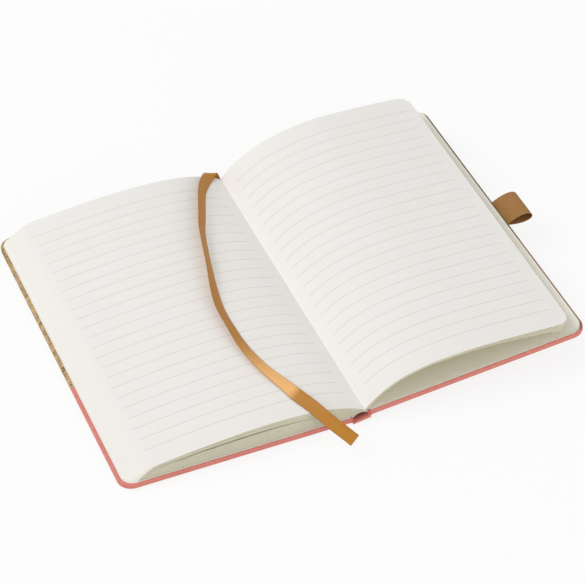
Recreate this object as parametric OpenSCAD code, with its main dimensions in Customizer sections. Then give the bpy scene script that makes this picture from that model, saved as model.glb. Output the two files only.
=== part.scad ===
/* [Covers] */
// Width of one cover, from its hinge line to the fore edge
cover_w = 129; // [110:1:150]
// Height of a cover, from tail to head
cover_h = 210; // [180:1:240]
// Radius of a cover's outer corners
cover_r = 8; // [6:0.5:12]
// Thickness of the stiff board inside a cover
board_t = 2.4; // [2:0.1:3.2]
// Thickness of the cork or smooth covering sheet
skin_t = 0.4; // [0.3:0.05:0.6]
// Radius of the covering where it goes round an edge
edge_r = 0.9; // [0.7:0.1:1.2]
// Width of the covering that is turned in over the board
turn_in = 14; // [10:1:18]
// Height of the smooth band, measured from the tail
band_h = 80; // [40:1:90]
// Angle by which the rear cover rises from the table
rear_lift = 5.5; // [2:0.5:8]

/* [Spine] */
// Distance between the two hinge lines
hinge_w = 11; // [10:0.5:14]
// Height of the rear hinge line over the front one
hinge_rise = 1.8; // [1:0.1:2.4]
// Gap between the spine and each cover
spine_gap = 0.3; // [0.2:0.05:0.5]
// Length by which the spine passes the covers at head and tail
spine_over = 1.3; // [0:0.1:2]
// Thickness of the card strip in the spine
strip_t = 0.6; // [0.5:0.1:1.2]
// Height by which the leaves' back arches over the hollow
arch_rise = 2.6; // [1.6:0.1:3]
// Clearance between the arch's feet and the spine's turn-ins
foot_gap = 0.15; // [0.15:0.05:0.4]
// Distance from each foot of the arch to the hinge line
foot_inset = 0.7; // [0.5:0.1:1]
// Thickness of the lining glued round the leaves' back
lining_t = 0.3; // [0.2:0.05:0.4]
// Glue between the lining and the leaves' back
glue_t = 0.05; // [0.02:0.01:0.1]

/* [Leaves] */
// Distance from the leaves to the covers' edge at head and tail
square = 1.5; // [1:0.5:5]
// Distance from the lowest leaves to the covers' fore edges
fore_square = 1.2; // [1:0.1:4]
// Width of a cover less the width of a leaf from the gutter to its fore edge
leaf_trim = 2; // [1:0.5:8]
// Radius of the leaves' outer corners
leaf_r = 7; // [5:0.5:12]
// Position of the gutter, measured from the spine's middle
gutter_x = 2.5; // [1:0.1:3]
// Leaves between the rounded back and the gutter
gutter_t = 0.7; // [0.6:0.1:1.5]
// Clearance between the leaves and what they lie on
leaf_gap = 0.15; // [0.1:0.05:0.3]
// Thickness of an endpaper
endpaper_t = 0.25; // [0.15:0.05:0.4]
// Distance from an endpaper to the cover's edges
endpaper_inset = 1; // [1:0.5:4]

/* [Left-hand leaves] */
// Thickness of the left-hand leaves at the fore edge
left_edge_t = 5.9; // [3.5:0.1:7]
// Height lost between the spine and the fore edge
left_fall = 10; // [5:0.5:11]
// Distance over which the leaves curve up out of the gutter
left_run = 22.5; // [12:0.5:26]
// Extra height at the head
left_twist = 0.3; // [0:0.1:3]
// Distance by which the leaves step out at the fore edge, from top to bottom
left_fan = 10; // [6:0.5:12]
// Leaves above the slit, at the fore edge
slit_edge_t = 2.2; // [1.6:0.1:2.6]
// Leaves above the slit, near the spine
slit_root_t = 5.2; // [3:0.1:5.6]
// Widest gap of the slit
slit_gap = 0.8; // [0.3:0.1:0.9]

/* [Right-hand leaves] */
// Clear space under the raised leaves at the tail corner
fan_gap = 2.3; // [1:0.1:5]
// Distance over which the leaves curve up out of the gutter
right_run = 19.5; // [12:0.5:24]
// Height lost between the crest and the fore edge
right_fall = 4.2; // [0:0.1:5]
// Extra height at the head
right_twist = 5.5; // [0:0.5:10]
// Raised leaves near the spine
fan_root_t = 1.3; // [1:0.1:1.6]
// Raised leaves at the fore edge, where they fan out
fan_edge_t = 4.4; // [2:0.1:5]
// Leaves that lie on the rear cover
rest_t = 0.8; // [0.5:0.1:1.2]

/* [Pen loop] */
// Length of the loop beyond the cover's edge
loop_l = 15.5; // [14:0.5:22]
// Width of the elastic band
loop_w = 20.5; // [12:0.5:30]
// Thickness of the elastic band
loop_t = 0.6; // [0.5:0.05:0.9]
// Bow of the loop's upper half
loop_bow = 4; // [3.4:0.1:5]
// Bow of the loop's lower half
loop_sag = 2.6; // [2.4:0.1:4]
// Length of the band that is glued into the cover
loop_tail = 12; // [8:1:20]
// Middle of the loop, measured from the cover's tail
loop_h = 106; // [106:1:150]
// Clearance beside the band in its recess
loop_clear = 0.1; // [0.05:0.05:0.2]

/* [Bookmark ribbon] */
// Width of the ribbon
ribbon_w = 7; // [4:0.5:8]
// Thickness of the ribbon
ribbon_t = 0.35; // [0.2:0.05:0.4]

/* [Hidden] */
$fn = 48;

cork = "#c49a70";
coral = "#dd7f77";
greyboard = "#9a9186";
paper = "#efece4";
elastic = "#9c6a44";
satin = "#c08a4a";

// Cover sizes that follow from the ones above
cover_t = board_t + 2 * skin_t;
band_y = band_h - cover_h / 2;
loop_y = loop_h - cover_h / 2;
leaf_seat = cover_t + endpaper_t + leaf_gap;

// Spine sizes: the strip lies between two sheets, the arch's feet just over them
spine_w = hinge_w - 2 * spine_gap;
spine_l = cover_h + 2 * spine_over;
spine_t = strip_t + 2 * skin_t;
spine_tilt = asin(hinge_rise / hinge_w);
foot_z = spine_t + foot_gap;
foot_u = hinge_w / 2 - foot_inset;
arch_r = (foot_u * foot_u + arch_rise * arch_rise) / (2 * arch_rise);
arch_z = foot_z + arch_rise - arch_r;
arch_steps = 8;

// Leaf sizes
leaf_h = cover_h - 2 * square;
leaf_w = cover_w - leaf_trim;
gutter_z = hinge_rise / 2 + foot_z + arch_rise + gutter_t;
left_rise = leaf_seat + left_edge_t + left_fall - gutter_z;
rest_top = leaf_seat + rest_t;
right_rise = hinge_rise + leaf_w * sin(rear_lift) + rest_top * cos(rear_lift)
    + fan_gap + fan_edge_t + right_fall - gutter_z;
leaf_steps = 14;
corner_steps = 4;
slit_first = 5;
fan_first = 2;

// Pen loop: a drop-shaped inner outline, the band's thickness outside it
loop_z = cover_t - skin_t - loop_t;
drop_l = loop_l - loop_t;
drop_steps = 28;

// The object is centred between its outermost edges
left_reach = hinge_w / 2 + cover_w;
right_reach = hinge_w / 2
    + max([for (p = loop_outer()) p[0] * cos(rear_lift) - p[1] * sin(rear_lift)]);
spine_x = (left_reach - right_reach) / 2;

// Ribbon route: middle of the band, then the direction of its width.
// It leaves the hollow at the head, folds over and crosses the left-hand page.
ribbon_route = [
    [[-0.3, 92, 2.9], [1, 0, 0.16]],
    [[-0.3, 98, 2.9], [1, 0, 0.16]],
    [[-0.3, 103.5, 3.1], [1, 0, 0.16]],
    [[-0.4, 105.6, 5], [1, 0, 0]],
    [[-1.2, 106.4, 7.8], [0.98, 0, -0.2]],
    [[-2.6, 105.8, 10.2], [0.95, 0, -0.31]],
    [[-4.8, 103, 11.2], [0.92, -0.12, -0.36]],
    [[-7.6, 99.4, 12.7], [0.82, -0.3, -0.49]],
    [[-10.9, 94.4, 14.4], [0.65, -0.3, -0.7]],
    [[-15, 87.2, 16.2], [0.57, -0.25, -0.78]],
    [[-18.5, 79, 17.4], [0.56, -0.23, -0.79]],
    [[-24.6, 63, 18.6], [0.54, -0.21, -0.81]],
    [[-29.8, 49, 19.3], [0.51, -0.15, -0.84]],
    [[-36.4, 22.5, 19.8], [0.49, -0.12, -0.87]],
    [[-43.4, -9, 19.4], [0.74, -0.1, -0.66]],
    [[-44, -31, 19], [0.81, 0.02, -0.59]],
    [[-43, -48, 18.5], [0.9, 0.14, -0.41]],
    [[-39, -65.5, 17.6], [0.94, 0.26, -0.21]],
    [[-33.5, -81.5, 17.4], [0.93, 0.35, 0.1]],
    [[-31, -91.5, 18.3], [0.8, 0.28, 0.5]],
    [[-27.2, -101.5, 18.4], [0.72, 0.25, 0.64]],
    [[-24.2, -109, 17.3], [0.71, 0.26, 0.65]],
    [[-20.7, -116.3, 15.5], [0.7, 0.27, 0.66]],
    [[-17, -122.5, 13.5], [0.7, 0.28, 0.66]],
    [[-14, -127.5, 11.7], [0.7, 0.28, 0.66]]
];
ribbon_steps = 3;

// Shared shapes

// Outline of a slab that is square at the hinge and rounded on its other edges
module edge_profile(len, low, top, r) {
    translate([0, low]) square([len - r, top - low]);
    translate([0, low + r]) square([len, top - low - 2 * r]);
    translate([len - r, low + r]) circle(r);
    translate([len - r, top - r]) circle(r);
}

// A cover-shaped slab from the hinge at x = start to the fore edge at x = w
module slab(start, w, h, r, low, top, er) {
    rotate([90, 0, 90]) translate([0, 0, start]) linear_extrude(w - r - start) {
        edge_profile(h / 2, low, top, er);
        mirror([1, 0]) edge_profile(h / 2, low, top, er);
    }
    translate([0, h / 2 - r, 0]) rotate([90, 0, 0]) linear_extrude(h - 2 * r)
        translate([start, 0]) edge_profile(w - start, low, top, er);
    for (side = [-1, 1])
        translate([w - r, side * (h / 2 - r), 0])
            rotate_extrude() edge_profile(r, low, top, er);
}

// A flat plate with the outer corners rounded
module plate(start, w, h, r, low, top) {
    translate([0, 0, low]) linear_extrude(top - low) {
        translate([start, -h / 2]) square([w - r - start, h]);
        translate([start, r - h / 2]) square([w - start, h - 2 * r]);
        for (side = [-1, 1])
            translate([w - r, side * (h / 2 - r)]) circle(r);
    }
}

module board_shape(start) {
    slab(start, cover_w - skin_t, cover_h - 2 * skin_t, cover_r - skin_t,
        skin_t, cover_t - skin_t, edge_r - skin_t);
}

// The whole covering of one cover, wrapped round the board
module covering() {
    difference() {
        slab(0, cover_w, cover_h, cover_r, 0, cover_t, edge_r);
        board_shape(-1);
        translate([-1, turn_in - cover_h / 2, cover_t - skin_t])
            cube([cover_w - turn_in + 1, cover_h - 2 * turn_in, 2 * skin_t]);
    }
}

// Half spaces above and below the seam between cork and smooth sheet
module cork_side() {
    translate([-cover_w, band_y, -cover_t]) cube([3 * cover_w, cover_h, 4 * cover_t]);
}

module coral_side() {
    translate([-cover_w, band_y - cover_h, -cover_t])
        cube([3 * cover_w, cover_h, 4 * cover_t]);
}

// An endpaper that dips off the turned-in covering onto the board
module endpaper() {
    low = cover_t - skin_t;
    difference() {
        union() {
            plate(spine_gap, cover_w - endpaper_inset, cover_h - 2 * endpaper_inset,
                cover_r - endpaper_inset, cover_t, cover_t + endpaper_t);
            translate([spine_gap, turn_in - cover_h / 2, low])
                cube([cover_w - turn_in - spine_gap, cover_h - 2 * turn_in, skin_t]);
        }
        translate([-1, turn_in - cover_h / 2 + endpaper_t, low + endpaper_t])
            cube([cover_w - turn_in - endpaper_t + 1, cover_h - 2 * turn_in - 2 * endpaper_t,
                2 * cover_t]);
    }
}

module front_place() {
    translate([spine_x - hinge_w / 2, 0, 0]) mirror([1, 0, 0]) children();
}

module rear_place() {
    translate([spine_x + hinge_w / 2, 0, hinge_rise]) rotate([0, -rear_lift, 0]) children();
}

module spine_place() {
    translate([spine_x, 0, hinge_rise / 2]) rotate([0, -spine_tilt, 0]) children();
}

// Covers

module front_board() {
    color(greyboard) front_place() board_shape(0);
}

// The recess under the turn-in takes the glued end of the pen loop
module loop_recess(past) {
    translate([cover_w - skin_t - loop_tail, loop_y - loop_w / 2 - loop_clear, loop_z - loop_t])
        cube([loop_tail + skin_t + past, loop_w + 2 * loop_clear, 2 * loop_t]);
}

module rear_board() {
    color(greyboard) rear_place() difference() {
        board_shape(0);
        loop_recess(1);
    }
}

module front_cork() {
    color(cork) front_place() intersection() {
        covering();
        cork_side();
    }
}

module front_coral() {
    color(coral) front_place() intersection() {
        covering();
        coral_side();
    }
}

module rear_cork() {
    color(cork) rear_place() difference() {
        intersection() {
            covering();
            cork_side();
        }
        loop_recess(1);
    }
}

module rear_coral() {
    color(coral) rear_place() intersection() {
        covering();
        coral_side();
    }
}

module front_endpaper() {
    color(paper) front_place() endpaper();
}

module rear_endpaper() {
    color(paper) rear_place() endpaper();
}

// Spine

module spine_strip() {
    color(greyboard) spine_place()
        translate([-spine_w / 2, skin_t - spine_l / 2, skin_t])
            cube([spine_w, spine_l - 2 * skin_t, strip_t]);
}

// Covering of the spine, turned in at head and tail
module spine_cover() {
    difference() {
        rotate([90, 0, 90]) translate([0, 0, -spine_w / 2]) linear_extrude(spine_w) {
            edge_profile(spine_l / 2, 0, spine_t, skin_t);
            mirror([1, 0]) edge_profile(spine_l / 2, 0, spine_t, skin_t);
        }
        translate([-spine_w, skin_t - spine_l / 2, skin_t])
            cube([2 * spine_w, spine_l - 2 * skin_t, strip_t]);
        translate([-spine_w, turn_in - cover_h / 2, skin_t])
            cube([2 * spine_w, cover_h - 2 * turn_in, 2 * spine_t]);
    }
}

module spine_cork() {
    color(cork) spine_place() intersection() {
        spine_cover();
        cork_side();
    }
}

module spine_coral() {
    color(coral) spine_place() intersection() {
        spine_cover();
        coral_side();
    }
}

// An arc about the arch's centre that ends level with its feet
function arch(r) = [for (i = [0:arch_steps])
    let (a = acos((foot_z - arch_z) / r) * (1 - 2 * i / arch_steps))
    [r * sin(a), arch_z + r * cos(a)]];

// Lining glued along the rounded back of the leaves
module spine_lining() {
    outer_r = arch_r - glue_t;
    color(paper) spine_place() translate([0, leaf_h / 2, 0]) rotate([90, 0, 0])
        linear_extrude(leaf_h)
            polygon(concat(arch(outer_r), [for (i = [arch_steps:-1:0]) arch(outer_r - lining_t)[i]]));
}

// Leaves

function clip(t) = min(max(t, 0), 1);

// A point of the spine or of the rear cover, seen in the upright cross-section
function on_spine(p) = [p[0] * cos(spine_tilt) - p[1] * sin(spine_tilt),
    hinge_rise / 2 + p[0] * sin(spine_tilt) + p[1] * cos(spine_tilt)];
function on_rear(s, t) = [hinge_w / 2 + s * cos(rear_lift) - t * sin(rear_lift),
    hinge_rise + s * sin(rear_lift) + t * cos(rear_lift)];

// Height of the uppermost leaf at distance d from the gutter, v from tail 0 to head 1
function top_z(side, d, v) = side < 0
    ? gutter_z + left_rise * (1 - exp(-d / left_run)) - left_fall * pow(d / leaf_w, 2)
        + left_twist * v * clip(d / 20)
    : gutter_z + right_rise * (1 - exp(-d / right_run)) - right_fall * pow(d / leaf_w, 2)
        + right_twist * v * clip(d / 60);
function top_slope(side, d, v) = (top_z(side, d + 0.1, v) - top_z(side, d, v)) / 0.1;

// Share of the leaf's width at step i, closer together near the gutter
function share(i) = pow(i / leaf_steps, 1.5);

// Distances from the gutter, walked along the curved leaf
function walk(side, w, v, i = 0, d = 0) = i == leaf_steps ? [d]
    : let (ds = w * (share(i + 1) - share(i)), k = top_slope(side, d + ds / 3, v))
        concat([d], walk(side, w, v, i + 1, d + ds / sqrt(1 + k * k)));

// A point t below the uppermost leaf, square to it
function below(side, d, v, t) =
    let (k = top_slope(side, d, v), n = sqrt(1 + k * k))
    [gutter_x + side * (d + t * k / n), top_z(side, d, v) - t / n];

function fan_t(i) = fan_root_t + (fan_edge_t - fan_root_t) * pow(share(i), 3);
function slit_t(i) = slit_edge_t + (slit_root_t - slit_edge_t) * (1 - share(i));
function slit_open(i) = i <= slit_first ? 0
    : slit_gap * (0.15 + 0.85 * sin(180 * clip((1 - share(i)) / (1 - share(slit_first)))));
function slit_point(i, d, v, t) = below(-1, d, v, t)
    - [left_fan * t / left_edge_t * pow(share(i), 2), 0];

// Outline of all leaves at one height y, for leaves of width w
function leaf_section(w, v) =
    let (right = walk(1, w, v), left = walk(-1, w, v), low_w = w + leaf_trim - fore_square)
    concat(
        [for (i = [0:leaf_steps]) below(1, right[i], v, 0)],
        [for (i = [leaf_steps:-1:fan_first]) below(1, right[i], v, fan_t(i))],
        [on_rear(-0.5, rest_top), on_rear(low_w, rest_top),
            on_rear(low_w, leaf_seat), on_rear(-0.35, leaf_seat)],
        [for (p = arch(arch_r)) on_spine(p)],
        [[spine_gap - hinge_w / 2, leaf_seat], [-hinge_w / 2 - low_w, leaf_seat]],
        [for (i = [leaf_steps:-1:slit_first])
            slit_point(i, left[i], v, slit_t(i) + slit_open(i))],
        [for (i = [slit_first + 1:leaf_steps]) slit_point(i, left[i], v, slit_t(i))],
        [for (i = [leaf_steps:-1:1]) below(-1, left[i], v, 0)]
    );

// Heights of the sections, with the width lost to the rounded corners
corner = [for (k = [0:corner_steps])
    [leaf_h / 2 - leaf_r * (1 - cos(90 * k / corner_steps)),
        leaf_r * (1 - sin(90 * k / corner_steps))]];
stations = concat(
    [for (k = [0:corner_steps]) [-corner[k][0], corner[k][1]]],
    [[0, 0]],
    [for (k = [corner_steps:-1:0]) corner[k]]
);

// End face of the leaves as triangles, by the numbers of the outline's points: top of the
// raised leaves, their underside, the lowest leaf, the arch and the left side's groups
function fan_low(i) = 2 * leaf_steps + 1 - i;
low_first = fan_low(fan_first) + 1;
arch_first = low_first + 4;
arch_mid = arch_first + floor(len(arch(arch_r)) / 2);
left_seat = arch_first + len(arch(arch_r));
function under_slit(i) = left_seat + 2 + leaf_steps - i;
function over_slit(i) = under_slit(slit_first) + i - slit_first;
function left_top(i) = over_slit(leaf_steps) + 1 + leaf_steps - i;
leaf_end = concat(
    [for (i = [fan_first:leaf_steps - 1])
        each [[i, i + 1, fan_low(i + 1)], [i, fan_low(i + 1), fan_low(i)]]],
    [for (i = [0:fan_first - 1]) [i, i + 1, fan_low(fan_first)]],
    [[0, low_first - 1, low_first], [0, low_first, low_first + 3],
        [0, low_first + 3, arch_first], [low_first, low_first + 1, low_first + 2],
        [low_first, low_first + 2, low_first + 3]],
    [for (k = [arch_first:arch_mid - 1]) [0, k, k + 1]],
    [[0, arch_mid, left_top(1)], [arch_mid, arch_mid + 1, left_top(1)],
        [arch_mid + 1, left_top(2), left_top(1)]],
    [for (k = [arch_mid + 1:left_seat - 1]) [k, k + 1, left_top(2)]],
    [for (i = [2:slit_first - 1]) [left_seat, left_top(i + 1), left_top(i)]],
    [[left_seat, under_slit(slit_first), left_top(slit_first)],
        [under_slit(slit_first), over_slit(slit_first + 1), left_top(slit_first + 1)],
        [under_slit(slit_first), left_top(slit_first + 1), left_top(slit_first)]],
    [for (k = [left_seat + 1:under_slit(slit_first) - 1]) [left_seat, k, k + 1]],
    [for (i = [slit_first + 1:leaf_steps - 1])
        each [[over_slit(i), over_slit(i + 1), left_top(i + 1)],
            [over_slit(i), left_top(i + 1), left_top(i)]]]
);

// Skin over a row of closed outlines that all have n points, with the triangles of an end face
module loft(rings, n, end) {
    m = len(rings);
    polyhedron(
        points = [for (r = rings) for (p = r) p],
        faces = concat(
            end,
            [for (t = end) [for (i = [2:-1:0]) (m - 1) * n + t[i]]],
            [for (j = [0:m - 2]) for (i = [0:n - 1]) let (k = (i + 1) % n)
                [j * n + i, (j + 1) * n + i, (j + 1) * n + k]],
            [for (j = [0:m - 2]) for (i = [0:n - 1]) let (k = (i + 1) % n)
                [j * n + i, (j + 1) * n + k, j * n + k]]
        ),
        convexity = 12
    );
}

module pages() {
    rings = [for (s = stations)
        [for (p = leaf_section(leaf_w - s[1], s[0] / leaf_h + 0.5)) [p[0], s[0], p[1]]]];
    color(paper) translate([spine_x, 0, 0]) loft(rings, len(rings[0]), leaf_end);
}

// Ribbon

function unit(v) = v / norm(v);

// Smooth curve through the route's points and directions
function curve(a, b, c, d, t) = 0.5 * ((2 * b) + (c - a) * t + (2 * a - 5 * b + 4 * c - d) * t * t
    + (3 * b - a - 3 * c + d) * t * t * t);
function route_at(k, i, t) =
    let (n = len(ribbon_route) - 1)
    curve(ribbon_route[max(i - 1, 0)][k], ribbon_route[i][k], ribbon_route[min(i + 1, n)][k],
        ribbon_route[min(i + 2, n)][k], t);
ribbon_marks = concat(
    [for (i = [0:len(ribbon_route) - 2]) for (j = [0:ribbon_steps - 1]) [i, j / ribbon_steps]],
    [[len(ribbon_route) - 2, 1]]
);

module ribbon_bookmark() {
    mid = [for (m = ribbon_marks) route_at(0, m[0], m[1])];
    n = len(mid) - 1;
    rings = [for (j = [0:n])
        let (
            t = unit(mid[min(j + 1, n)] - mid[max(j - 1, 0)]),
            s = route_at(1, ribbon_marks[j][0], ribbon_marks[j][1]),
            w = unit(s - (s * t) * t) * ribbon_w / 2,
            h = unit(cross(w, t)) * ribbon_t / 2
        )
        [mid[j] - w - h, mid[j] + w - h, mid[j] + w + h, mid[j] - w + h]];
    color(satin) translate([spine_x, 0, 0]) loft([for (j = [n:-1:0]) rings[j]], 4, [[0, 1, 2], [0, 2, 3]]);
}

// Pen loop

// The drop runs from the cover's edge over its upper half and back along its lower half
function drop(a) = [drop_l / 2 * (1 - cos(a)),
    (a <= 180 ? loop_bow : loop_sag) * sin(a) * sin(a / 2)];
function drop_normal(a) =
    let (p = drop(a + 1) - drop(a - 1))
    [p[1], -p[0]] / norm(p);

// Outer outline, open where the band's two ends meet the cover
function loop_outer() = [for (i = [3:drop_steps - 3])
    let (a = 360 * i / drop_steps) [cover_w, loop_z] + drop(a) - loop_t * drop_normal(a)];

module pen_loop() {
    inner = [for (i = [0:drop_steps - 1]) [cover_w, loop_z] + drop(360 * i / drop_steps)];
    outer = concat(
        [[cover_w - skin_t - loop_tail, loop_z + loop_t], [cover_w, loop_z + loop_t]],
        loop_outer(),
        [[cover_w, loop_z - loop_t], [cover_w - skin_t - loop_tail, loop_z - loop_t]]
    );
    color(elastic) rear_place() translate([0, loop_y + loop_w / 2, 0]) rotate([90, 0, 0])
        linear_extrude(loop_w) difference() {
            polygon(outer);
            polygon(inner);
        }
}

front_board();
rear_board();
front_cork();
front_coral();
rear_cork();
rear_coral();
front_endpaper();
rear_endpaper();
spine_strip();
spine_cork();
spine_coral();
spine_lining();
pages();
ribbon_bookmark();
pen_loop();
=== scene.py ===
import math
import bmesh
import bpy
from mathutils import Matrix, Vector


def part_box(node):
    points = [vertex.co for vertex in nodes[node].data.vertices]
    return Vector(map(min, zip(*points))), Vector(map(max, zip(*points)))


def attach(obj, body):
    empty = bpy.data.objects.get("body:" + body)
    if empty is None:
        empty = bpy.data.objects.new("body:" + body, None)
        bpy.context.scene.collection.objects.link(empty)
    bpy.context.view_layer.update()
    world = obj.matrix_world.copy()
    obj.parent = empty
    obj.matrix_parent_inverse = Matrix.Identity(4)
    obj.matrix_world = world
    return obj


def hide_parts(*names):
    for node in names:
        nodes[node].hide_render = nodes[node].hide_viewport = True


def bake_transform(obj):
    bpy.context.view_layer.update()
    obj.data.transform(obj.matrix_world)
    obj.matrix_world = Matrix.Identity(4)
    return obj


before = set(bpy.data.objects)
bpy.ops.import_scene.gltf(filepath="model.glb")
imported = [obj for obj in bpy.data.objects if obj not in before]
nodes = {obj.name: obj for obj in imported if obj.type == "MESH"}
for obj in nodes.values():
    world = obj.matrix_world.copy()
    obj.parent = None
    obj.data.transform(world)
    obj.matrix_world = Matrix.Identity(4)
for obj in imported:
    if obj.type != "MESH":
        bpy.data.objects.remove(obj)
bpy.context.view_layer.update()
scene = bpy.context.scene
scene.view_settings.view_transform = "Standard"

# Sizes in millimetres, measured from the middle of the spine at table height
notebook = {
    "hingeWidth": 11,
    "hingeRise": 1.8,
    "rearLift": 5.5,
    "coverThickness": 3.2,
    "coverWidth": 129,
    "coverHeight": 210,
    "spineGap": 0.3,   # between the spine's pieces and each hinge line
}
halfSpine = notebook["hingeWidth"] / 2
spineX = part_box("front_board")[1].x + halfSpine / 1000


def place(x, y, z):
    return Vector((spineX + x / 1000, y / 1000, z / 1000))


def onRear(along, up):
    lift = math.radians(notebook["rearLift"])
    return (halfSpine + along * math.cos(lift) - up * math.sin(lift),
            notebook["hingeRise"] + along * math.sin(lift) + up * math.cos(lift))


# The camera stands where the photograph was taken from
cameraSetup = {
    "target": (0.005462, 0.001922, 0),
    "azimuth": -22.876,
    "elevation": 42.307,
    "distance": 1.3419,
    "lens": 147.42,
    "sensor": 36,
    "clip": (0.05, 50),
}


def makeCamera(setup):
    data = bpy.data.cameras.new("camera")
    data.lens = setup["lens"]
    data.sensor_width = setup["sensor"]
    data.clip_start, data.clip_end = setup["clip"]
    camera = bpy.data.objects.new("camera", data)
    scene.collection.objects.link(camera)
    turn, rise = math.radians(setup["azimuth"]), math.radians(setup["elevation"])
    back = Vector((math.sin(turn) * math.cos(rise), -math.cos(turn) * math.cos(rise),
                   math.sin(rise)))
    target = Vector(setup["target"]) + Vector((spineX, 0, 0))
    camera.location = target + back * setup["distance"]
    camera.rotation_euler = (-back).to_track_quat("-Z", "Y").to_euler()
    scene.camera = camera


makeCamera(cameraSetup)
print("camera placed")


# Short helpers for meshes and materials
def addNode(tree, kind, values=None, **settings):
    node = tree.nodes.new(kind)
    for key, value in settings.items():
        setattr(node, key, value)
    for key, value in (values or {}).items():
        node.inputs[key].default_value = value
    return node


def addMath(tree, operation, first, second=None):
    node = addNode(tree, "ShaderNodeMath", operation=operation)
    for socket, value in zip(node.inputs, (first, second)):
        if isinstance(value, (int, float)):
            socket.default_value = value
        elif value is not None:
            tree.links.new(value, socket)
    return node.outputs[0]


def addRamp(tree, factor, low, high):
    node = addNode(tree, "ShaderNodeMapRange", {"From Min": low, "From Max": high},
                   interpolation_type="SMOOTHSTEP")
    tree.links.new(factor, node.inputs["Value"])
    return node.outputs["Result"]


def addMix(tree, factor, first, second):
    node = addNode(tree, "ShaderNodeMix", data_type="RGBA")
    for socket, value in zip((node.inputs[0], node.inputs[6], node.inputs[7]),
                             (factor, first, second)):
        if isinstance(value, bpy.types.NodeSocket):
            tree.links.new(value, socket)
        elif isinstance(value, (int, float)):
            socket.default_value = value
        else:
            socket.default_value = (*value, 1)
    return node.outputs[2]


def addSplit(tree, vector):
    node = addNode(tree, "ShaderNodeSeparateXYZ")
    tree.links.new(vector, node.inputs[0])
    return node.outputs


def newMaterial(name, roughness, specular=0.5):
    material = bpy.data.materials.new(name)
    material.use_nodes = True
    shader = material.node_tree.nodes["Principled BSDF"]
    shader.inputs["Roughness"].default_value = roughness
    shader.inputs["Specular IOR Level"].default_value = specular
    return material, material.node_tree, shader


def addBump(tree, shader, height, distance, strength):
    bump = addNode(tree, "ShaderNodeBump", {"Distance": distance, "Strength": strength})
    tree.links.new(height, bump.inputs["Height"])
    tree.links.new(bump.outputs["Normal"], shader.inputs["Normal"])


def finishMesh(bm, name, materials, smoothAngle=35):
    bmesh.ops.recalc_face_normals(bm, faces=bm.faces)
    mesh = bpy.data.meshes.new(name)
    bm.to_mesh(mesh)
    bm.free()
    for material in materials:
        mesh.materials.append(material)
    mesh.polygons.foreach_set("use_smooth", [True] * len(mesh.polygons))
    mesh.set_sharp_from_angle(angle=math.radians(smoothAngle))
    piece = bpy.data.objects.new(name, mesh)
    scene.collection.objects.link(piece)
    return piece


def extrudeRings(bm, rings):
    # carries one closed outline through all the others and closes both ends
    number = bm.verts.layers.int.new("number")
    row = bm.verts.layers.int.new("row")
    first = [bm.verts.new(point) for point in rings[0]]
    count = len(first)
    for index, vert in enumerate(first):
        vert[number] = index
    edges = [bm.edges.new((first[i], first[(i + 1) % count])) for i in range(count)]
    for step, ring in enumerate(rings[1:], 1):
        made = bmesh.ops.extrude_edge_only(bm, edges=edges)["geom"]
        loop = sorted((v for v in made if isinstance(v, bmesh.types.BMVert)),
                      key=lambda v: v[number])
        for vert, point in zip(loop, ring):
            vert.co = point
            vert[row] = step
        edges = [e for e in made if isinstance(e, bmesh.types.BMEdge)
                 and e.verts[0][row] == e.verts[1][row]]
    bm.faces.new(first)
    bm.faces.new(loop)
    return number, row


# Fine uneven grain used by the coral sheet, the board, the paper and the elastic
grainSetup = {
    "fine": {"Detail": 4.0, "Roughness": 0.6},
    "broad": {"Detail": 2.0},
    "broadScale": 0.06,
}


def makeGrainGroup(setup):
    group = bpy.data.node_groups.new("grain", "ShaderNodeTree")
    face = group.interface
    face.new_socket("Scale", in_out="INPUT", socket_type="NodeSocketFloat")
    face.new_socket("Value", in_out="OUTPUT", socket_type="NodeSocketFloat")
    face.new_socket("Patches", in_out="OUTPUT", socket_type="NodeSocketFloat")
    start, end = group.nodes.new("NodeGroupInput"), group.nodes.new("NodeGroupOutput")
    where = addNode(group, "ShaderNodeTexCoord")
    fine = addNode(group, "ShaderNodeTexNoise", setup["fine"])
    broad = addNode(group, "ShaderNodeTexNoise", setup["broad"])
    group.links.new(where.outputs["Object"], fine.inputs["Vector"])
    group.links.new(where.outputs["Object"], broad.inputs["Vector"])
    group.links.new(start.outputs["Scale"], fine.inputs["Scale"])
    wide = addMath(group, "MULTIPLY", start.outputs["Scale"], setup["broadScale"])
    group.links.new(wide, broad.inputs["Scale"])
    group.links.new(fine.outputs["Fac"], end.inputs["Value"])
    group.links.new(broad.outputs["Fac"], end.inputs["Patches"])
    return group


grainGroup = makeGrainGroup(grainSetup)


def placeGrain(tree, scale):
    node = addNode(tree, "ShaderNodeGroup", node_tree=grainGroup)
    node.inputs["Scale"].default_value = scale
    return node


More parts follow.
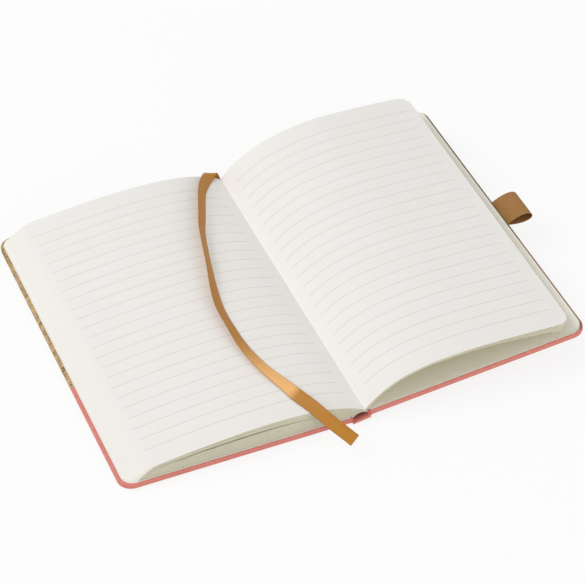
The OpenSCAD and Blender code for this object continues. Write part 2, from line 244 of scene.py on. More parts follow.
# The ribbon leaves the hollow of the spine at the head and lies across the left-hand page
ribbon = {
    "width": 7,
    "thickness": 0.35,
    "steps": 6,
    "exit": (-0.3, 92, 2.9),
    "color": (0.49, 0.215, 0.032),
    "shade": (0.3, 0.12, 0.018),
    "sheen": (0.95, 0.55, 0.22),
    "sheenFrom": (0.17, 0.212),   # where the satin catches the light, metres along the band
    "sheenTo": (0.222, 0.23),
    "sheenDepth": 0.85,
    "roughness": 0.45,
    "specular": 0.18,
    "threads": (7800, 5200),      # along and across the band
    "crossHeight": 0.6,
    "selvedge": (0.0029, 0.0033),   # metres from the middle of the band
    "selvedgeDepth": 0.5,
    "slub": (2200, 40, 1),
    "slubNoise": {"Scale": 1.0, "Detail": 3.0},
    "slubFromTo": (0.35, 0.7),
    "slubDepth": 0.25,
    "bump": (0.00003, 0.5),
    "smoothAngle": 60,
    "foldEnd": 5,      # the band lies slanted up to this point of the route
    "foldRun": 2,      # and straightens over this many points
    "foldSlant": 0.3,
    # lower half of the outline, in shares of the half width and half thickness
    "outline": [(-1, -0.3), (-0.94, -1), (-0.4, -1), (0.4, -1), (0.94, -1), (1, -0.3)],
}
ribbonRoute = [
    ((-0.3, 92, 2.9), (1, 0, 0.16)),
    ((-0.3, 98, 2.9), (1, 0, 0.16)),
    ((-0.3, 103.5, 3.1), (1, 0, 0.16)),
    ((-0.4, 105.6, 5), (0.98, 0, -0.2)),
    ((-1.2, 106.4, 7.8), (0.95, 0, -0.31)),
    ((-2.6, 105.8, 10.2), (0.95, 0, -0.31)),
    ((-4.8, 103, 11.2), (0.84, -0.25, -0.46)),
    ((-7.6, 99.4, 12.7), (0.7, -0.3, -0.65)),
    ((-10.9, 94.4, 14.4), (0.65, -0.3, -0.7)),
    ((-15, 87.2, 16.2), (0.57, -0.25, -0.78)),
    ((-18.5, 79, 17.4), (0.56, -0.23, -0.79)),
    ((-24.6, 63, 18.6), (0.54, -0.21, -0.81)),
    ((-29.8, 49, 19.3), (0.51, -0.15, -0.84)),
    ((-36.4, 22.5, 19.8), (0.49, -0.12, -0.87)),
    ((-43.4, -9, 19.4), (0.74, -0.1, -0.66)),
    ((-44, -31, 19), (0.81, 0.02, -0.59)),
    ((-43, -48, 18.5), (0.9, 0.14, -0.41)),
    ((-39, -65.5, 17.6), (0.94, 0.26, -0.21)),
    ((-33.5, -81.5, 17.4), (0.93, 0.35, 0.1)),
    ((-31, -91.5, 18.3), (0.8, 0.28, 0.5)),
    ((-27.2, -101.5, 18.4), (0.72, 0.25, 0.64)),
    ((-24.2, -109, 17.3), (0.71, 0.26, 0.65)),
    ((-20.7, -116.3, 15.5), (0.7, 0.27, 0.66)),
    ((-17, -122.5, 13.5), (0.7, 0.28, 0.66)),
    ((-14, -127.5, 11.7), (0.7, 0.28, 0.66)),
]


def alongRoute(route, index, share):
    last = len(route) - 1
    a, b, c, d = (Vector(route[min(max(index + k, 0), last)]) for k in (-1, 0, 1, 2))
    return 0.5 * (2 * b + (c - a) * share + (2 * a - 5 * b + 4 * c - d) * share ** 2
                  + (3 * b - a - 3 * c + d) * share ** 3)


def makeSatin(setup):
    material, tree, shader = newMaterial("satin", setup["roughness"], setup["specular"])
    uv = addNode(tree, "ShaderNodeUVMap", uv_map="band")
    across, along, _ = addSplit(tree, uv.outputs["UV"])
    threads, cross = (addMath(tree, "SINE", addMath(tree, "MULTIPLY", way, count))
                      for way, count in zip((along, across), setup["threads"]))
    edge = addMath(tree, "ABSOLUTE", addMath(tree, "SUBTRACT", across, setup["width"] / 2000))
    selvedge = addRamp(tree, edge, *setup["selvedge"])
    stretch = addNode(tree, "ShaderNodeMapping", {"Scale": setup["slub"]})
    tree.links.new(uv.outputs["UV"], stretch.inputs["Vector"])
    slub = addNode(tree, "ShaderNodeTexNoise", setup["slubNoise"])
    tree.links.new(stretch.outputs["Vector"], slub.inputs["Vector"])
    streak = addRamp(tree, slub.outputs["Fac"], *setup["slubFromTo"])
    streak = addMath(tree, "MULTIPLY", streak, setup["slubDepth"])
    color = addMix(tree, streak, setup["color"], setup["shade"])
    past = addMath(tree, "SUBTRACT", 1, addRamp(tree, along, *setup["sheenTo"]))
    lit = addMath(tree, "MULTIPLY", addRamp(tree, along, *setup["sheenFrom"]), past)
    lit = addMath(tree, "MULTIPLY", lit, setup["sheenDepth"])
    color = addMix(tree, lit, color, setup["sheen"])
    selvedge = addMath(tree, "MULTIPLY", selvedge, setup["selvedgeDepth"])
    color = addMix(tree, selvedge, color, setup["shade"])
    tree.links.new(color, shader.inputs["Base Color"])
    cross = addMath(tree, "MULTIPLY", cross, setup["crossHeight"])
    addBump(tree, shader, addMath(tree, "ADD", threads, cross), *setup["bump"])
    return material


def makeRibbon(setup, route):
    steps = setup["steps"]
    marks = [(i, j / steps) for i in range(len(route) - 1) for j in range(steps)]
    marks.append((len(route) - 2, 1))
    middle = [alongRoute([r[0] for r in route], *m) for m in marks]
    sides = [alongRoute([r[1] for r in route], *m) for m in marks]
    half, deep = setup["width"] / 2, setup["thickness"] / 2
    outline = [(turn * a * half, turn * b * deep)
               for turn in (1, -1) for a, b in setup["outline"]]
    rings, reach = [], [0.0]
    for j, point in enumerate(middle):
        ahead = (middle[min(j + 1, len(middle) - 1)] - middle[max(j - 1, 0)]).normalized()
        # the band lies slanted across its way up and over the fold at the head
        straight = (sum(marks[j]) - setup["foldEnd"]) / setup["foldRun"]
        square = min(max(straight, setup["foldSlant"]), 1)
        across = (sides[j] - square * sides[j].dot(ahead) * ahead).normalized()
        up = across.cross(ahead)
        rings.append([place(*(point + across * a + up * b)) for a, b in outline])
        if j:
            reach.append(reach[-1] + (point - middle[j - 1]).length)
    bm = bmesh.new()
    number, row = extrudeRings(bm, rings)
    uv = bm.loops.layers.uv.new("band")
    for face in bm.faces:
        for corner in face.loops:
            vert = corner.vert
            corner[uv].uv = ((outline[vert[number]][0] + half) / 1000, reach[vert[row]] / 1000)
    piece = finishMesh(bm, "bookmarkRibbon", [makeSatin(setup)], setup["smoothAngle"])
    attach(piece, "text_block")
    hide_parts("ribbon_bookmark")
    print("ribbon made, %.0f mm long" % reach[-1])


makeRibbon(ribbon, ribbonRoute)


# The leaves: one block that is open between its groups of leaves
leaves = {
    "width": 127,
    "lowestRight": 127.3,
    "lowestLeft": 126.5,
    "height": 207,
    "cornerRadius": 7,
    "gutterX": 2.5,
    "gutterZ": 5.75,
    "seat": 3.6,
    # the curve of the uppermost leaf on each side of the gutter
    "left": {"rise": 13.75, "fall": 10, "run": 22.5, "twist": 0.3, "twistRun": 20},
    "right": {"rise": 23.502, "fall": 4.2, "run": 19.5, "twist": 5.5, "twistRun": 60},
    "leftDepth": 5.9,
    "leftFan": 10,
    "fanRoot": 1.3,
    "fanEdge": 4.4,
    "fanPower": 3,
    "underFirst": 4,    # step next to the gutter at which the raised leaves' underside ends
    "slitStart": 0.004,
    "restTop": 4.4,
    "restRoot": -0.5,
    "seatRoot": -0.35,
    "notchHeight": 0.03,
    "notchDepth": 0.5,
    "footU": 4.8,
    "footV": 1.55,
    "archRise": 2.6,
    "archSteps": 16,
    "steps": 44,
    "crowding": 1.5,    # steps lie closer together near the gutter
    "slopeStep": 0.1,
    "columns": 12,
    "cornerSteps": 8,
    "bodySteps": 20,
    "smoothAngle": 30,
    # depth of the lowest surfaces in the leaf edges' texture
    "depths": {"rest": 2, "notch": 2.4, "seat": 3, "arch": 4, "root": 5, "leftSeat": 9},
}
# Gaps between groups of leaves: their depth at the fore edge and near the spine, how wide
# they open, and the step at which they start
leftSlits = [
    {"edge": 0.5, "root": 1.2, "gap": 0.05, "first": 26},
    {"edge": 1.1, "root": 2.6, "gap": 0.06, "first": 22},
    {"edge": 2.2, "root": 5.2, "gap": 0.8, "first": 15},
    {"edge": 3.2, "root": 6.6, "gap": 0.06, "first": 24},
    {"edge": 4.1, "root": 8.2, "gap": 0.05, "first": 26},
    {"edge": 5.0, "root": 9.6, "gap": 0.05, "first": 28},
]
fanSlits = [
    {"share": 0.14, "gap": 0.05, "first": 26},
    {"share": 0.36, "gap": 0.08, "first": 24},
    {"share": 0.6, "gap": 0.06, "first": 28},
    {"share": 0.82, "gap": 0.06, "first": 26},
]
ruling = {
    "first": 90.75,
    "pitch": 8.25,
    "shift": 100.5,    # keeps the count of lines above zero, with a line half-way
    "thickness": 0.3,
    "soften": (0.6, 1.4),
    "fade": 0.4,
    "depth": 0.75,
    "left": (-117, -3.5),
    "right": (7.4, 117),
    "color": (0.5, 0.52, 0.5),
}
paper = {
    "color": (0.87, 0.858, 0.838),
    "cream": (0.865, 0.84, 0.785),
    # paper of the lowest leaves in the gap, lighter and warmer than the page paper: painted
    # light there; the plain paper also takes it as its patch tone
    "inner": (0.95, 0.93, 0.85),
    "innerShade": (0.94, 0.91, 0.78),
    # darker olive paper for the underside of the raised leaves: painted shade in the gap
    "under": (0.88, 0.82, 0.56),
    "edge": (0.64, 0.625, 0.505),
    "edgeShade": (0.47, 0.455, 0.32),
    "margin": (0.87, 0.855, 0.81),
    "marginLine": (0.85, 0.835, 0.785),
    "roughness": 0.82,
    "specular": 0.3,
    "grain": 900,
    "patchFromTo": (0.25, 0.8),
    "patchDepth": 0.35,
    "bump": (0.00004, 0.5),
}
leafEdge = {
    "roughness": 0.9,
    "specular": 0.2,
    "stretch": (14, 9000, 1),
    "noise": {"Scale": 1.0, "Detail": 5.0, "Roughness": 0.65},
    "edgeFromTo": (0.3, 0.62),
    "marginFromTo": (0.2, 0.42),
    "bump": (0.0002, 0.5),
}


def clip(value):
    return min(max(value, 0), 1)


def topHeight(side, d, v):
    shape = leaves["left"] if side < 0 else leaves["right"]
    return (leaves["gutterZ"] + shape["rise"] * (1 - math.exp(-d / shape["run"]))
            - shape["fall"] * (d / leaves["width"]) ** 2
            + shape["twist"] * v * clip(d / shape["twistRun"]))


def topSlope(side, d, v):
    step = leaves["slopeStep"]
    return (topHeight(side, d + step, v) - topHeight(side, d, v)) / step


def share(i):
    return (i / leaves["steps"]) ** leaves["crowding"]


def walkLeaf(side, width, v):
    d, out = 0.0, [0.0]
    for i in range(leaves["steps"]):
        step = width * (share(i + 1) - share(i))
        # the slope a third of the way along stands for the whole step
        slope = topSlope(side, d + step / 3, v)
        d += step / math.hypot(1, slope)
        out.append(d)
    return out


def below(side, d, v, depth):
    slope = topSlope(side, d, v)
    n = math.hypot(1, slope)
    return (leaves["gutterX"] + side * (d + depth * slope / n),
            topHeight(side, d, v) - depth / n)


def fanDepth(i):
    spread = share(i) ** leaves["fanPower"]
    return leaves["fanRoot"] + (leaves["fanEdge"] - leaves["fanRoot"]) * spread


def slitOpening(slit, i):
    if i <= slit["first"]:
        return 0
    swell = math.sin(math.pi * clip((1 - share(i)) / (1 - share(slit["first"]))))
    return leaves["slitStart"] + slit["gap"] * swell


def onSpine(u, v):
    tilt = math.asin(notebook["hingeRise"] / notebook["hingeWidth"])
    return (u * math.cos(tilt) - v * math.sin(tilt),
            notebook["hingeRise"] / 2 + u * math.sin(tilt) + v * math.cos(tilt))


def backArch():
    rise, foot, steps = leaves["archRise"], leaves["footU"], leaves["archSteps"]
    radius = (foot ** 2 + rise ** 2) / (2 * rise)
    centre = leaves["footV"] + rise - radius
    reach = math.asin(foot / radius)
    out = []
    for k in range(steps + 1):
        angle = reach * (1 - 2 * k / steps)
        out.append(onSpine(radius * math.sin(angle), centre + radius * math.cos(angle)))
    return out


# One outline through all the leaves; each point carries its depth and its kind of surface
def leafSection(width, v):
    steps, columns, depths = leaves["steps"], leaves["columns"], leaves["depths"]
    right, left = walkLeaf(1, width, v), walkLeaf(-1, width, v)

    def fanPoint(i, depth, kind):
        return below(1, right[i], v, depth), depth, kind

    out = [fanPoint(i, 0, "page") for i in range(steps)]
    out.append(fanPoint(steps, 0, "edge"))
    for slit in fanSlits:
        for i in range(steps, slit["first"] - 1, -1):
            out.append(fanPoint(i, fanDepth(i) * slit["share"], "edge"))
        for i in range(slit["first"] + 1, steps + 1):
            depth = fanDepth(i) * slit["share"] + slitOpening(slit, i)
            out.append(fanPoint(i, depth, "edge"))
    # the raised leaves' underside, given the under paper's painted shade
    out += [fanPoint(i, fanDepth(i), "under")
            for i in range(steps, leaves["underFirst"], -1)]

    reach = width + leaves["lowestRight"] - leaves["width"]
    rest, seat = leaves["restTop"], leaves["seat"]
    middle, notch = (rest + seat) / 2, leaves["notchHeight"]
    out.append((onRear(leaves["restRoot"], rest), depths["rest"], "inner"))
    for k in range(1, columns):
        out.append((onRear(reach * k / columns, rest), depths["rest"], "inner"))
    out.append((onRear(reach, rest), depths["rest"], "edge"))
    for along, up in ((reach, middle + notch), (reach - leaves["notchDepth"], middle),
                      (reach, middle - notch)):
        out.append((onRear(along, up), depths["notch"], "edge"))
    for k in range(columns, 0, -1):
        out.append((onRear(reach * k / columns, seat), depths["seat"], "inner"))
    out.append((onRear(leaves["seatRoot"], seat), depths["seat"], "edge"))
    out += [(point, depths["arch"], "edge") for point in backArch()]

    near = notebook["spineGap"] - halfSpine
    far = -halfSpine - width - leaves["lowestLeft"] + leaves["width"]
    out.append(((near, seat), depths["root"], "inner"))
    for k in range(1, columns):
        out.append(((near + (far - near) * k / columns, seat), depths["leftSeat"], "inner"))
    out.append(((far, seat), leaves["leftDepth"], "margin"))

    def slitPoint(i, depth, kind="edge"):
        x, z = below(-1, left[i], v, depth)
        fan = leaves["leftFan"] * depth / leaves["leftDepth"] * share(i) ** 2
        return (x - fan, z), depth, kind

    for slit in reversed(leftSlits):
        deep = slit["root"] - slit["edge"]
        for i in range(steps, slit["first"] - 1, -1):
            depth = slit["edge"] + deep * (1 - share(i)) + slitOpening(slit, i)
            out.append(slitPoint(i, depth))
        for i in range(slit["first"] + 1, steps):
            out.append(slitPoint(i, slit["edge"] + deep * (1 - share(i))))
        out.append(slitPoint(steps, slit["edge"], "margin"))
    out += [(below(-1, left[i], v, 0), 0, "page") for i in range(steps, 0, -1)]
    return out


def leafStations():
    half, radius, steps = leaves["height"] / 2, leaves["cornerRadius"], leaves["cornerSteps"]
    corner = []
    for k in range(steps + 1):
        angle = math.pi / 2 * k / steps
        corner.append((half - radius * (1 - math.cos(angle)), radius * (1 - math.sin(angle))))
    body = half - radius
    rows = leaves["bodySteps"]
    return ([(-y, inset) for y, inset in corner]
            + [(body * (2 * k / rows - 1), 0) for k in range(1, rows)]
            + corner[::-1])


def ruledLines(tree, lines):
    where = addNode(tree, "ShaderNodeTexCoord")
    x, y, _ = addSplit(tree, where.outputs["Object"])
    # distance to the nearest ruled line
    count = addMath(tree, "DIVIDE", addMath(tree, "SUBTRACT", y, lines["first"] / 1000),
                    lines["pitch"] / 1000)
    count = addMath(tree, "FRACT", addMath(tree, "ADD", count, lines["shift"]))
    away = addMath(tree, "ABSOLUTE", addMath(tree, "SUBTRACT", count, 0.5))
    away = addMath(tree, "MULTIPLY", away, lines["pitch"] / 1000)
    half = lines["thickness"] / 2000
    outside = addRamp(tree, away, *(half * part for part in lines["soften"]))
    mask = addMath(tree, "SUBTRACT", 1, outside)
    # the lines end short of the leaves' edges and of the gutter
    inPage, fade = None, lines["fade"]
    for low, high in (lines["left"], lines["right"]):
        above = addRamp(tree, x, spineX + low / 1000, spineX + (low + fade) / 1000)
        under = addMath(tree, "SUBTRACT", 1, addRamp(
            tree, x, spineX + (high - fade) / 1000, spineX + high / 1000))
        band = addMath(tree, "MULTIPLY", above, under)
        inPage = band if inPage is None else addMath(tree, "ADD", inPage, band)
    # none lies beyond the first line or its mirror image
    limit = (lines["first"] + lines["pitch"] / 2) / 1000
    inside = addMath(tree, "LESS_THAN", addMath(tree, "ABSOLUTE", y), limit)
    return addMath(tree, "MULTIPLY", addMath(tree, "MULTIPLY", mask, inPage), inside)


def makePaper(name, setup, plain, patches, lines=None):
    material, tree, shader = newMaterial(name, setup["roughness"], setup["specular"])
    grain = placeGrain(tree, setup["grain"])
    warm = addRamp(tree, grain.outputs["Patches"], *setup["patchFromTo"])
    color = addMix(tree, addMath(tree, "MULTIPLY", warm, setup["patchDepth"]),
                   setup[plain], setup[patches])
    if lines:
        mask = addMath(tree, "MULTIPLY", ruledLines(tree, lines), lines["depth"])
        color = addMix(tree, mask, color, lines["color"])
    tree.links.new(color, shader.inputs["Base Color"])
    addBump(tree, shader, grain.outputs["Value"], *setup["bump"])
    return material


def makeLeafEdges(name, setup, light, shade, fromTo):
    # thin lines run along the leaves, one level of depth after the other
    material, tree, shader = newMaterial(name, setup["roughness"], setup["specular"])
    uv = addNode(tree, "ShaderNodeUVMap", uv_map="layers")
    stretch = addNode(tree, "ShaderNodeMapping", {"Scale": setup["stretch"]})
    tree.links.new(uv.outputs["UV"], stretch.inputs["Vector"])
    layers = addNode(tree, "ShaderNodeTexNoise", setup["noise"])
    tree.links.new(stretch.outputs["Vector"], layers.inputs["Vector"])
    color = addMix(tree, addRamp(tree, layers.outputs["Fac"], *fromTo), shade, light)
    tree.links.new(color, shader.inputs["Base Color"])
    addBump(tree, shader, layers.outputs["Fac"], *setup["bump"])
    return material


def makeLeaves():
    rings = []
    for y, inset in leafStations():
        section = leafSection(leaves["width"] - inset, y / leaves["height"] + 0.5)
        rings.append([place(p[0], y, p[1]) for p, depth, kind in section])
    # depths and kinds are the same in every section
    depths = [depth for p, depth, kind in section]
    kinds = [kind for p, depth, kind in section]
    bm = bmesh.new()
    number = extrudeRings(bm, rings)[0]
    uv = bm.loops.layers.uv.new("layers")
    slots = {"page": 0, "edge": 1, "inner": 2, "margin": 3, "under": 4}
    for face in bm.faces:
        indices = [corner.vert[number] for corner in face.loops]
        cap = len(indices) > 4
        wraps = max(indices) - min(indices) == len(kinds) - 1
        start = max(indices) if wraps else min(indices)
        face.material_index = slots["edge"] if cap else slots[kinds[start]]
        for corner in face.loops:
            along = corner.vert.co.x if cap else corner.vert.co.y
            corner[uv].uv = (along, depths[corner.vert[number]] / 1000)
    materials = [
        makePaper("ruledPaper", paper, "color", "cream", ruling),
        makeLeafEdges("leafEdges", leafEdge, paper["edge"], paper["edgeShade"],
                      leafEdge["edgeFromTo"]),
        # the leaves in the gap get lighter, warmer paper: painted light
        makePaper("innerPaperPaintedLight", paper, "inner", "innerShade"),
        makeLeafEdges("leafMargins", leafEdge, paper["margin"], paper["marginLine"],
                      leafEdge["marginFromTo"]),
        # painted shade under the raised leaves
        makePaper("undersidePaintedShade", paper, "under", "innerShade"),
    ]
    piece = finishMesh(bm, "leafBlock", materials, leaves["smoothAngle"])
    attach(piece, "text_block")
    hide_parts("pages")
    print("leaves made, %d faces" % len(piece.data.polygons))


makeLeaves()


# Covers, spine and endpapers keep the frame's own solids and get their finishes here
cork = {
    "base": (0.43, 0.29, 0.13),
    "pale": (0.64, 0.47, 0.25),
    "dark": (0.13, 0.07, 0.03),
    "roughness": 0.78,
    "specular": 0.35,
    "granule": 360,
    "pits": {"Scale": 468, "Detail": 2.0, "Roughness": 0.6},
    "seam": (0.0, 0.09),
    "seamDepth": 0.45,
    "fleck": (0.56, 0.66),
    "fleckDepth": 0.85,
    "rise": 0.4,
    "bump": (0.00008, 0.6),
}
coralSheet = {
    "color": (0.64, 0.19, 0.15),
    "pale": (0.7, 0.235, 0.19),
    "roughness": 0.5,
    "roughLeast": 0.42,
    "roughSpan": 0.15,
    "specular": 0.45,
    "pebble": 1500,
    "grain": 500,
    "paleFromTo": (0.3, 0.75),
    # painted shade for the hollow inside the spine, setting in over this span of y from the
    # tail end
    "hollow": (0.1, 0.012, 0.01),
    "hollowShadeFromTo": (-0.1065, -0.0985),
    "bump": (0.00006, 0.5),
}
board = {
    "color": (0.34, 0.31, 0.27),
    "shade": (0.2, 0.18, 0.15),
    "roughness": 0.95,
    "grain": 1200,
    "bump": (0.0001, 0.5),
}
# The narrow rim inside the rear cover lies in the shade of the leaves
rim = {
    "foreEdge": (0.1215, 0.1235),   # where it begins, metres
    "upward": (0.2, 0.8),           # how steeply a surface has to face up
    "shade": (0.12, 0.08, 0.03),
    "corkKeep": 0.1,
    "coralKeep": 0.35,
}


def facingUp(tree, where):
    return addRamp(tree, addSplit(tree, where.outputs["Normal"])[2], *rim["upward"])


def shadeRim(tree, where, color, keep):
    top = addMath(tree, "MULTIPLY", facingUp(tree, where), 1 - keep)
    fore = addRamp(tree, addSplit(tree, where.outputs["Object"])[0], *rim["foreEdge"])
    return addMix(tree, addMath(tree, "MULTIPLY", top, fore), color, rim["shade"])


def makeCork(name, setup, keep=1):
    material, tree, shader = newMaterial(name, setup["roughness"], setup["specular"])
    where = addNode(tree, "ShaderNodeTexCoord")
    size = {"Scale": setup["granule"]}
    cells = addNode(tree, "ShaderNodeTexVoronoi", size, feature="F1")
    edges = addNode(tree, "ShaderNodeTexVoronoi", size, feature="DISTANCE_TO_EDGE")
    pits = addNode(tree, "ShaderNodeTexNoise", setup["pits"])
    for node in (cells, edges, pits):
        tree.links.new(where.outputs["Object"], node.inputs["Vector"])
    tone = addNode(tree, "ShaderNodeSeparateColor")
    tree.links.new(cells.outputs["Color"], tone.inputs[0])
    color = addMix(tree, tone.outputs[0], setup["base"], setup["pale"])
    inner = addRamp(tree, edges.outputs["Distance"], *setup["seam"])
    seam = addMath(tree, "SUBTRACT", 1, inner)
    fleck = addRamp(tree, pits.outputs["Fac"], *setup["fleck"])
    for mark, depth in ((seam, setup["seamDepth"]), (fleck, setup["fleckDepth"])):
        color = addMix(tree, addMath(tree, "MULTIPLY", mark, depth), color, setup["dark"])
    tree.links.new(shadeRim(tree, where, color, keep), shader.inputs["Base Color"])
    rise = addMath(tree, "MULTIPLY", tone.outputs[1], setup["rise"])
    height = addMath(tree, "SUBTRACT", rise, addMath(tree, "ADD", seam, fleck))
    addBump(tree, shader, height, *setup["bump"])
    return material


def makeCoral(name, setup, keep=1, hollow=False):
    material, tree, shader = newMaterial(name, setup["roughness"], setup["specular"])
    where = addNode(tree, "ShaderNodeTexCoord")
    pebble = addNode(tree, "ShaderNodeTexVoronoi", {"Scale": setup["pebble"]},
                     feature="SMOOTH_F1")
    tree.links.new(where.outputs["Object"], pebble.inputs["Vector"])
    grain = placeGrain(tree, setup["grain"])
    color = addMix(tree, addRamp(tree, grain.outputs["Value"], *setup["paleFromTo"]),
                   setup["color"], setup["pale"])
    color = shadeRim(tree, where, color, keep)
    if hollow:
        # dark red painted shade inside the spine, on its upward faces where it runs under the
        # back of the leaves
        y = addSplit(tree, where.outputs["Object"])[1]
        inside = addMath(tree, "MULTIPLY", addRamp(tree, y, *setup["hollowShadeFromTo"]),
                         facingUp(tree, where))
        color = addMix(tree, inside, color, setup["hollow"])
    tree.links.new(color, shader.inputs["Base Color"])
    rough = addMath(tree, "MULTIPLY", grain.outputs["Value"], setup["roughSpan"])
    tree.links.new(addMath(tree, "ADD", rough, setup["roughLeast"]), shader.inputs["Roughness"])
    addBump(tree, shader, pebble.outputs["Distance"], *setup["bump"])
    return material


def makeBoard(setup):
    material, tree, shader = newMaterial("greyboard", setup["roughness"])
    grain = placeGrain(tree, setup["grain"])
    color = addMix(tree, grain.outputs["Value"], setup["shade"], setup["color"])
    tree.links.new(color, shader.inputs["Base Color"])
    addBump(tree, shader, grain.outputs["Value"], *setup["bump"])
    return material


corkFinish, corkRim = makeCork("cork", cork), makeCork("corkRim", cork, rim["corkKeep"])
coralFinish = makeCoral("coralSheet", coralSheet)
coralRim = makeCoral("coralRim", coralSheet, rim["coralKeep"])
coralHollowShade = makeCoral("coralHollowShade", coralSheet, hollow=True)
boardFinish = makeBoard(board)
plainPaper = makePaper("plainPaper", paper, "color", "inner")
finishes = {
    "front_cork": corkFinish, "rear_cork": corkRim, "spine_cork": corkFinish,
    "front_coral": coralFinish, "rear_coral": coralRim, "spine_coral": coralHollowShade,
    "front_board": boardFinish, "rear_board": boardFinish, "spine_strip": boardFinish,
    "spine_lining": plainPaper,
}
for name, finish in finishes.items():
    nodes[name].data.materials.clear()
    nodes[name].data.materials.append(finish)

# Each endpaper is trimmed a little at its fore edge, so that the rim of the cover shows
endpaper = {
    "trim": {"front": 0.0009, "rear": -0.0006},
    "foreZone": 0.03,   # metres from the fore edge within which points move
}
for side, trim in endpaper["trim"].items():
    solid = nodes[side + "_endpaper"]
    mesh = solid.data.copy()
    fore = max((vert.co.x for vert in mesh.vertices), key=abs)
    for vert in mesh.vertices:
        if abs(vert.co.x - fore) < endpaper["foreZone"]:
            vert.co.x += trim
    mesh.materials.clear()
    mesh.materials.append(plainPaper)
    piece = bpy.data.objects.new(side + "Endpaper", mesh)
    scene.collection.objects.link(piece)
    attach(piece, side + "_cover")
    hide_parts(side + "_endpaper")
print("covers finished")


# The covering sheet runs on across both hinges as a narrow pinched groove
groove = {
    "inset": 0.15,     # below the surface of the cover and of the spine
    "pinch": 0.3,      # deeper still at the fold
    "reach": 0.8,      # how far it runs on under each side
    "half": notebook["coverHeight"] / 2,
    "split": -25,      # where cork changes to coral
    "coverDeep": notebook["coverThickness"],
    "spineDeep": 3.08,
    "spineMiddle": 1.55,
    "blendFrom": 0.6,  # how far the blend runs on into the cover
    "blendTo": 0.9,    # and into the spine
}


def makeGroove(name, setup, cover, finish, low, high):
    toward = 1 if cover == "rear_cover" else -1
    foldU, inset, pinch = halfSpine - notebook["spineGap"], setup["inset"], setup["pinch"]

    def onCover(along, up):
        return onRear(along, up) if toward > 0 else (-halfSpine - along, up)

    def across(level, deep, under):
        return under + level * (deep - 2 * under)

    def section(level, under):
        deep = setup["spineDeep"]
        foot = setup["spineMiddle"] - deep / 2
        inner = onCover(setup["reach"], across(level, setup["coverDeep"], inset))
        start = onCover(0, across(level, setup["coverDeep"], under))
        stop = onSpine(toward * foldU, across(level, deep, under) + foot)
        last = onSpine(toward * (foldU - setup["reach"]), across(level, deep, inset) + foot)
        middle = ((start[0] + stop[0]) / 2, (start[1] + stop[1]) / 2)
        return inner, start, middle, stop, last

    rings = []
    for step in range(5):
        under = inset + pinch * (step == 2)
        (lowX, lowZ), (highX, highZ) = (section(level, under)[step] for level in (0, 1))
        tail = low + under if low < setup["split"] else low
        head = high - under if high > setup["split"] else high
        rings.append([place(lowX, tail, lowZ), place(lowX, head, lowZ),
                      place(highX, head, highZ), place(highX, tail, highZ)])
    bm = bmesh.new()
    extrudeRings(bm, rings)
    piece = finishMesh(bm, name, [finish])
    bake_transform(piece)


for cover, side in (("front_cover", "front"), ("rear_cover", "rear")):
    makeGroove(side + "GrooveCoral", groove, cover, coralFinish,
               -groove["half"], groove["split"])
    makeGroove(side + "GrooveCork", groove, cover, corkFinish,
               groove["split"], groove["half"])
print("grooves made")


# The pen loop is one band of ribbed elastic
penLoop = {
    "length": 15.5,
    "width": 20.5,
    "thickness": 0.6,
    "bow": 4,
    "sag": 2.6,
    "tail": 12,
    "middle": 1,
    "coverEdge": notebook["coverWidth"],
    "level": 2.2,
    "rootPast": 0.4,     # how far the tails run on beyond their length
    "edgeInset": 0.2,    # where the tails bend into the loop
    "tailInset": 0.02,   # how much thinner the tails are than their seat
    "steps": 40,
    "angleStep": 0.02,
    "smoothAngle": 50,
    "ribs": 17,
    "ribDepth": 0.1,
    "ribSteps": 8,
    "color": (0.45, 0.235, 0.085),
    "shade": (0.24, 0.115, 0.035),
    "roughness": 0.9,
    "specular": 0.25,
    "picks": 9000,
    # darkening towards the shade colour in the valleys between the ribs: painted shade
    "valleyShadeFromTo": (-0.2, 0.9),
    "valleyShadeDepth": 0.45,
    "grain": 1500,
    "grainDepth": 0.35,
    "bump": (0.00005, 0.5),
}


def makeElastic(setup):
    material, tree, shader = newMaterial("elastic", setup["roughness"], setup["specular"])
    uv = addNode(tree, "ShaderNodeUVMap", uv_map="band")
    across, along, _ = addSplit(tree, uv.outputs["UV"])
    pick = addMath(tree, "SINE", addMath(tree, "MULTIPLY", along, setup["picks"]))
    turns = 2 * math.pi * setup["ribs"] * 1000 / setup["width"]
    rib = addMath(tree, "COSINE", addMath(tree, "MULTIPLY", across, turns))
    # the thin valleys between the ribs are darkened: painted shade in the grooves
    valleyShade = addRamp(tree, rib, *setup["valleyShadeFromTo"])
    grain = placeGrain(tree, setup["grain"])
    color = setup["color"]
    for mark, depth in ((valleyShade, setup["valleyShadeDepth"]),
                        (grain.outputs["Value"], setup["grainDepth"])):
        color = addMix(tree, addMath(tree, "MULTIPLY", mark, depth), color, setup["shade"])
    tree.links.new(color, shader.inputs["Base Color"])
    height = addMath(tree, "ADD", pick, grain.outputs["Value"])
    addBump(tree, shader, height, *setup["bump"])
    return material


def dropPoint(setup, angle):
    size = (setup["length"] - setup["thickness"]) / 2
    bow = setup["bow"] if angle <= math.pi else setup["sag"]
    return Vector((size * (1 - math.cos(angle)), bow * math.sin(angle) * math.sin(angle / 2)))


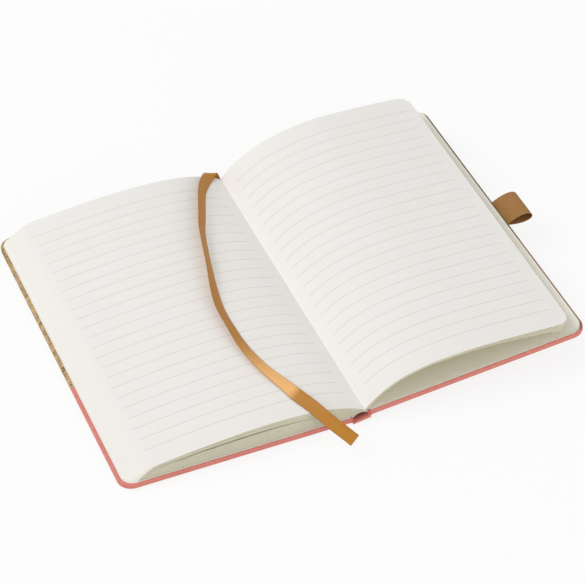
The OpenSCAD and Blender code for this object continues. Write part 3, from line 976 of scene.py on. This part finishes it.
def makePenLoop(setup):
    # the middle of the band: in over the upper side, round the drop and back at the lower side
    half, edge, steps = setup["thickness"] / 2, setup["coverEdge"], setup["steps"]
    root, bend = edge - setup["tail"] - setup["rootPast"], edge - setup["edgeInset"]
    line = [(root, half), (bend, half)]
    for k in range(2, steps - 1):
        angle = math.pi * 2 * k / steps
        slope = (dropPoint(setup, angle + setup["angleStep"])
                 - dropPoint(setup, angle - setup["angleStep"]))
        spot = dropPoint(setup, angle) + Vector((-slope.y, slope.x)).normalized() * half
        line.append((edge + spot.x, spot.y))
    line += [(bend, -half), (root, -half)]
    count = len(line)
    reach = [0.0]
    for a, b in zip(line, line[1:]):
        reach.append(reach[-1] + math.dist(a, b))
    rows = setup["ribs"] * setup["ribSteps"]
    rings = []
    for row in range(rows + 1):
        y = setup["middle"] - setup["width"] / 2 + setup["width"] * row / rows
        turn = 2 * math.pi * row / setup["ribSteps"]
        swell = setup["ribDepth"] * (0.5 - 0.5 * math.cos(turn))
        outer, inner = [], []
        for k, (x, z) in enumerate(line):
            a, b = line[max(k - 1, 0)], line[min(k + 1, count - 1)]
            size = math.dist(a, b)
            nx, nz = (b[1] - a[1]) / size, -(b[0] - a[0]) / size
            thick = half - setup["ribDepth"] + swell
            if k < 2 or k > count - 3:
                thick = half - setup["tailInset"]
            outer.append((x + nx * thick, z + nz * thick))
            inner.append((x - nx * thick, z - nz * thick))
        section = [onRear(x, setup["level"] + z) for x, z in outer + inner[::-1]]
        rings.append([place(x, y, z) for x, z in section])
    bm = bmesh.new()
    number = extrudeRings(bm, rings)[0]
    uv = bm.loops.layers.uv.new("band")
    for face in bm.faces:
        for corner in face.loops:
            index = corner.vert[number]
            along = reach[index] if index < count else reach[2 * count - 1 - index]
            across = corner.vert.co.y * 1000 - setup["middle"] + setup["width"] / 2
            corner[uv].uv = (across / 1000, along / 1000)
    piece = finishMesh(bm, "elasticLoop", [makeElastic(setup)], setup["smoothAngle"])
    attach(piece, "rear_cover")
    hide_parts("pen_loop")
    print("pen loop made")


makePenLoop(penLoop)


# Pale floor, white world and two soft lamps
studio = {
    "floorSize": 6.0,
    "floorDrop": 0.0003,
    "floorColor": (0.9, 0.9, 0.9),
    "floorRoughness": 0.9,
    "floorGlow": 0.86,
    "worldLight": 0.54,
    "lamps": [
        # name, place, size, power, colour
        ("keyLamp", (-1.5, 0.7, 1.7), 1.6, 27, (1.0, 0.985, 0.96)),
        ("fillLamp", (0.6, -1.6, 1.6), 1.8, 1, (1.0, 1.0, 1.0)),
        ("gapLamp", (0.35, -1.5, 0.42), 0.9, 7, (1.0, 0.96, 0.88)),
    ],
}


def whiteToCamera(tree, ground, strength):
    # the camera and reflections see plain white, the rest of the scene the given shader
    path = addNode(tree, "ShaderNodeLightPath")
    seen = path.outputs["Is Camera Ray"]
    for kind in ("Is Glossy Ray", "Is Transmission Ray"):
        seen = addMath(tree, "MAXIMUM", seen, path.outputs[kind])
    mix = addNode(tree, "ShaderNodeMixShader")
    tree.links.new(addMath(tree, "MULTIPLY", seen, strength), mix.inputs[0])
    tree.links.new(ground, mix.inputs[1])
    return mix


def makeStudio(setup):
    world = scene.world or bpy.data.worlds.new("world")
    scene.world = world
    world.use_nodes = True
    tree = world.node_tree
    ambient = tree.nodes["Background"]
    ambient.inputs["Color"].default_value = (1, 1, 1, 1)
    ambient.inputs["Strength"].default_value = setup["worldLight"]
    white = addNode(tree, "ShaderNodeBackground", {"Strength": 1.0, "Color": (1, 1, 1, 1)})
    mix = whiteToCamera(tree, ambient.outputs[0], 1.0)
    tree.links.new(white.outputs[0], mix.inputs[2])
    tree.links.new(mix.outputs[0], tree.nodes["World Output"].inputs[0])

    bm = bmesh.new()
    bmesh.ops.create_grid(bm, x_segments=1, y_segments=1, size=setup["floorSize"] / 2)
    material, tree, shader = newMaterial("floor", setup["floorRoughness"])
    shader.inputs["Base Color"].default_value = (*setup["floorColor"], 1)
    glow = addNode(tree, "ShaderNodeEmission", {"Color": (1, 1, 1, 1), "Strength": 1.0})
    mix = whiteToCamera(tree, shader.outputs[0], setup["floorGlow"])
    tree.links.new(glow.outputs[0], mix.inputs[2])
    tree.links.new(mix.outputs[0], tree.nodes["Material Output"].inputs[0])
    floor = finishMesh(bm, "floor", [material])
    for vert in floor.data.vertices:
        vert.co.z = -setup["floorDrop"]

    for name, spot, size, power, color in setup["lamps"]:
        data = bpy.data.lights.new(name, "AREA")
        data.shape = "DISK"
        data.size, data.energy, data.color = size, power, color
        lamp = bpy.data.objects.new(name, data)
        scene.collection.objects.link(lamp)
        lamp.location = spot
        lamp.rotation_euler = (-Vector(spot)).to_track_quat("-Z", "Y").to_euler()


makeStudio(studio)
print("studio lit")
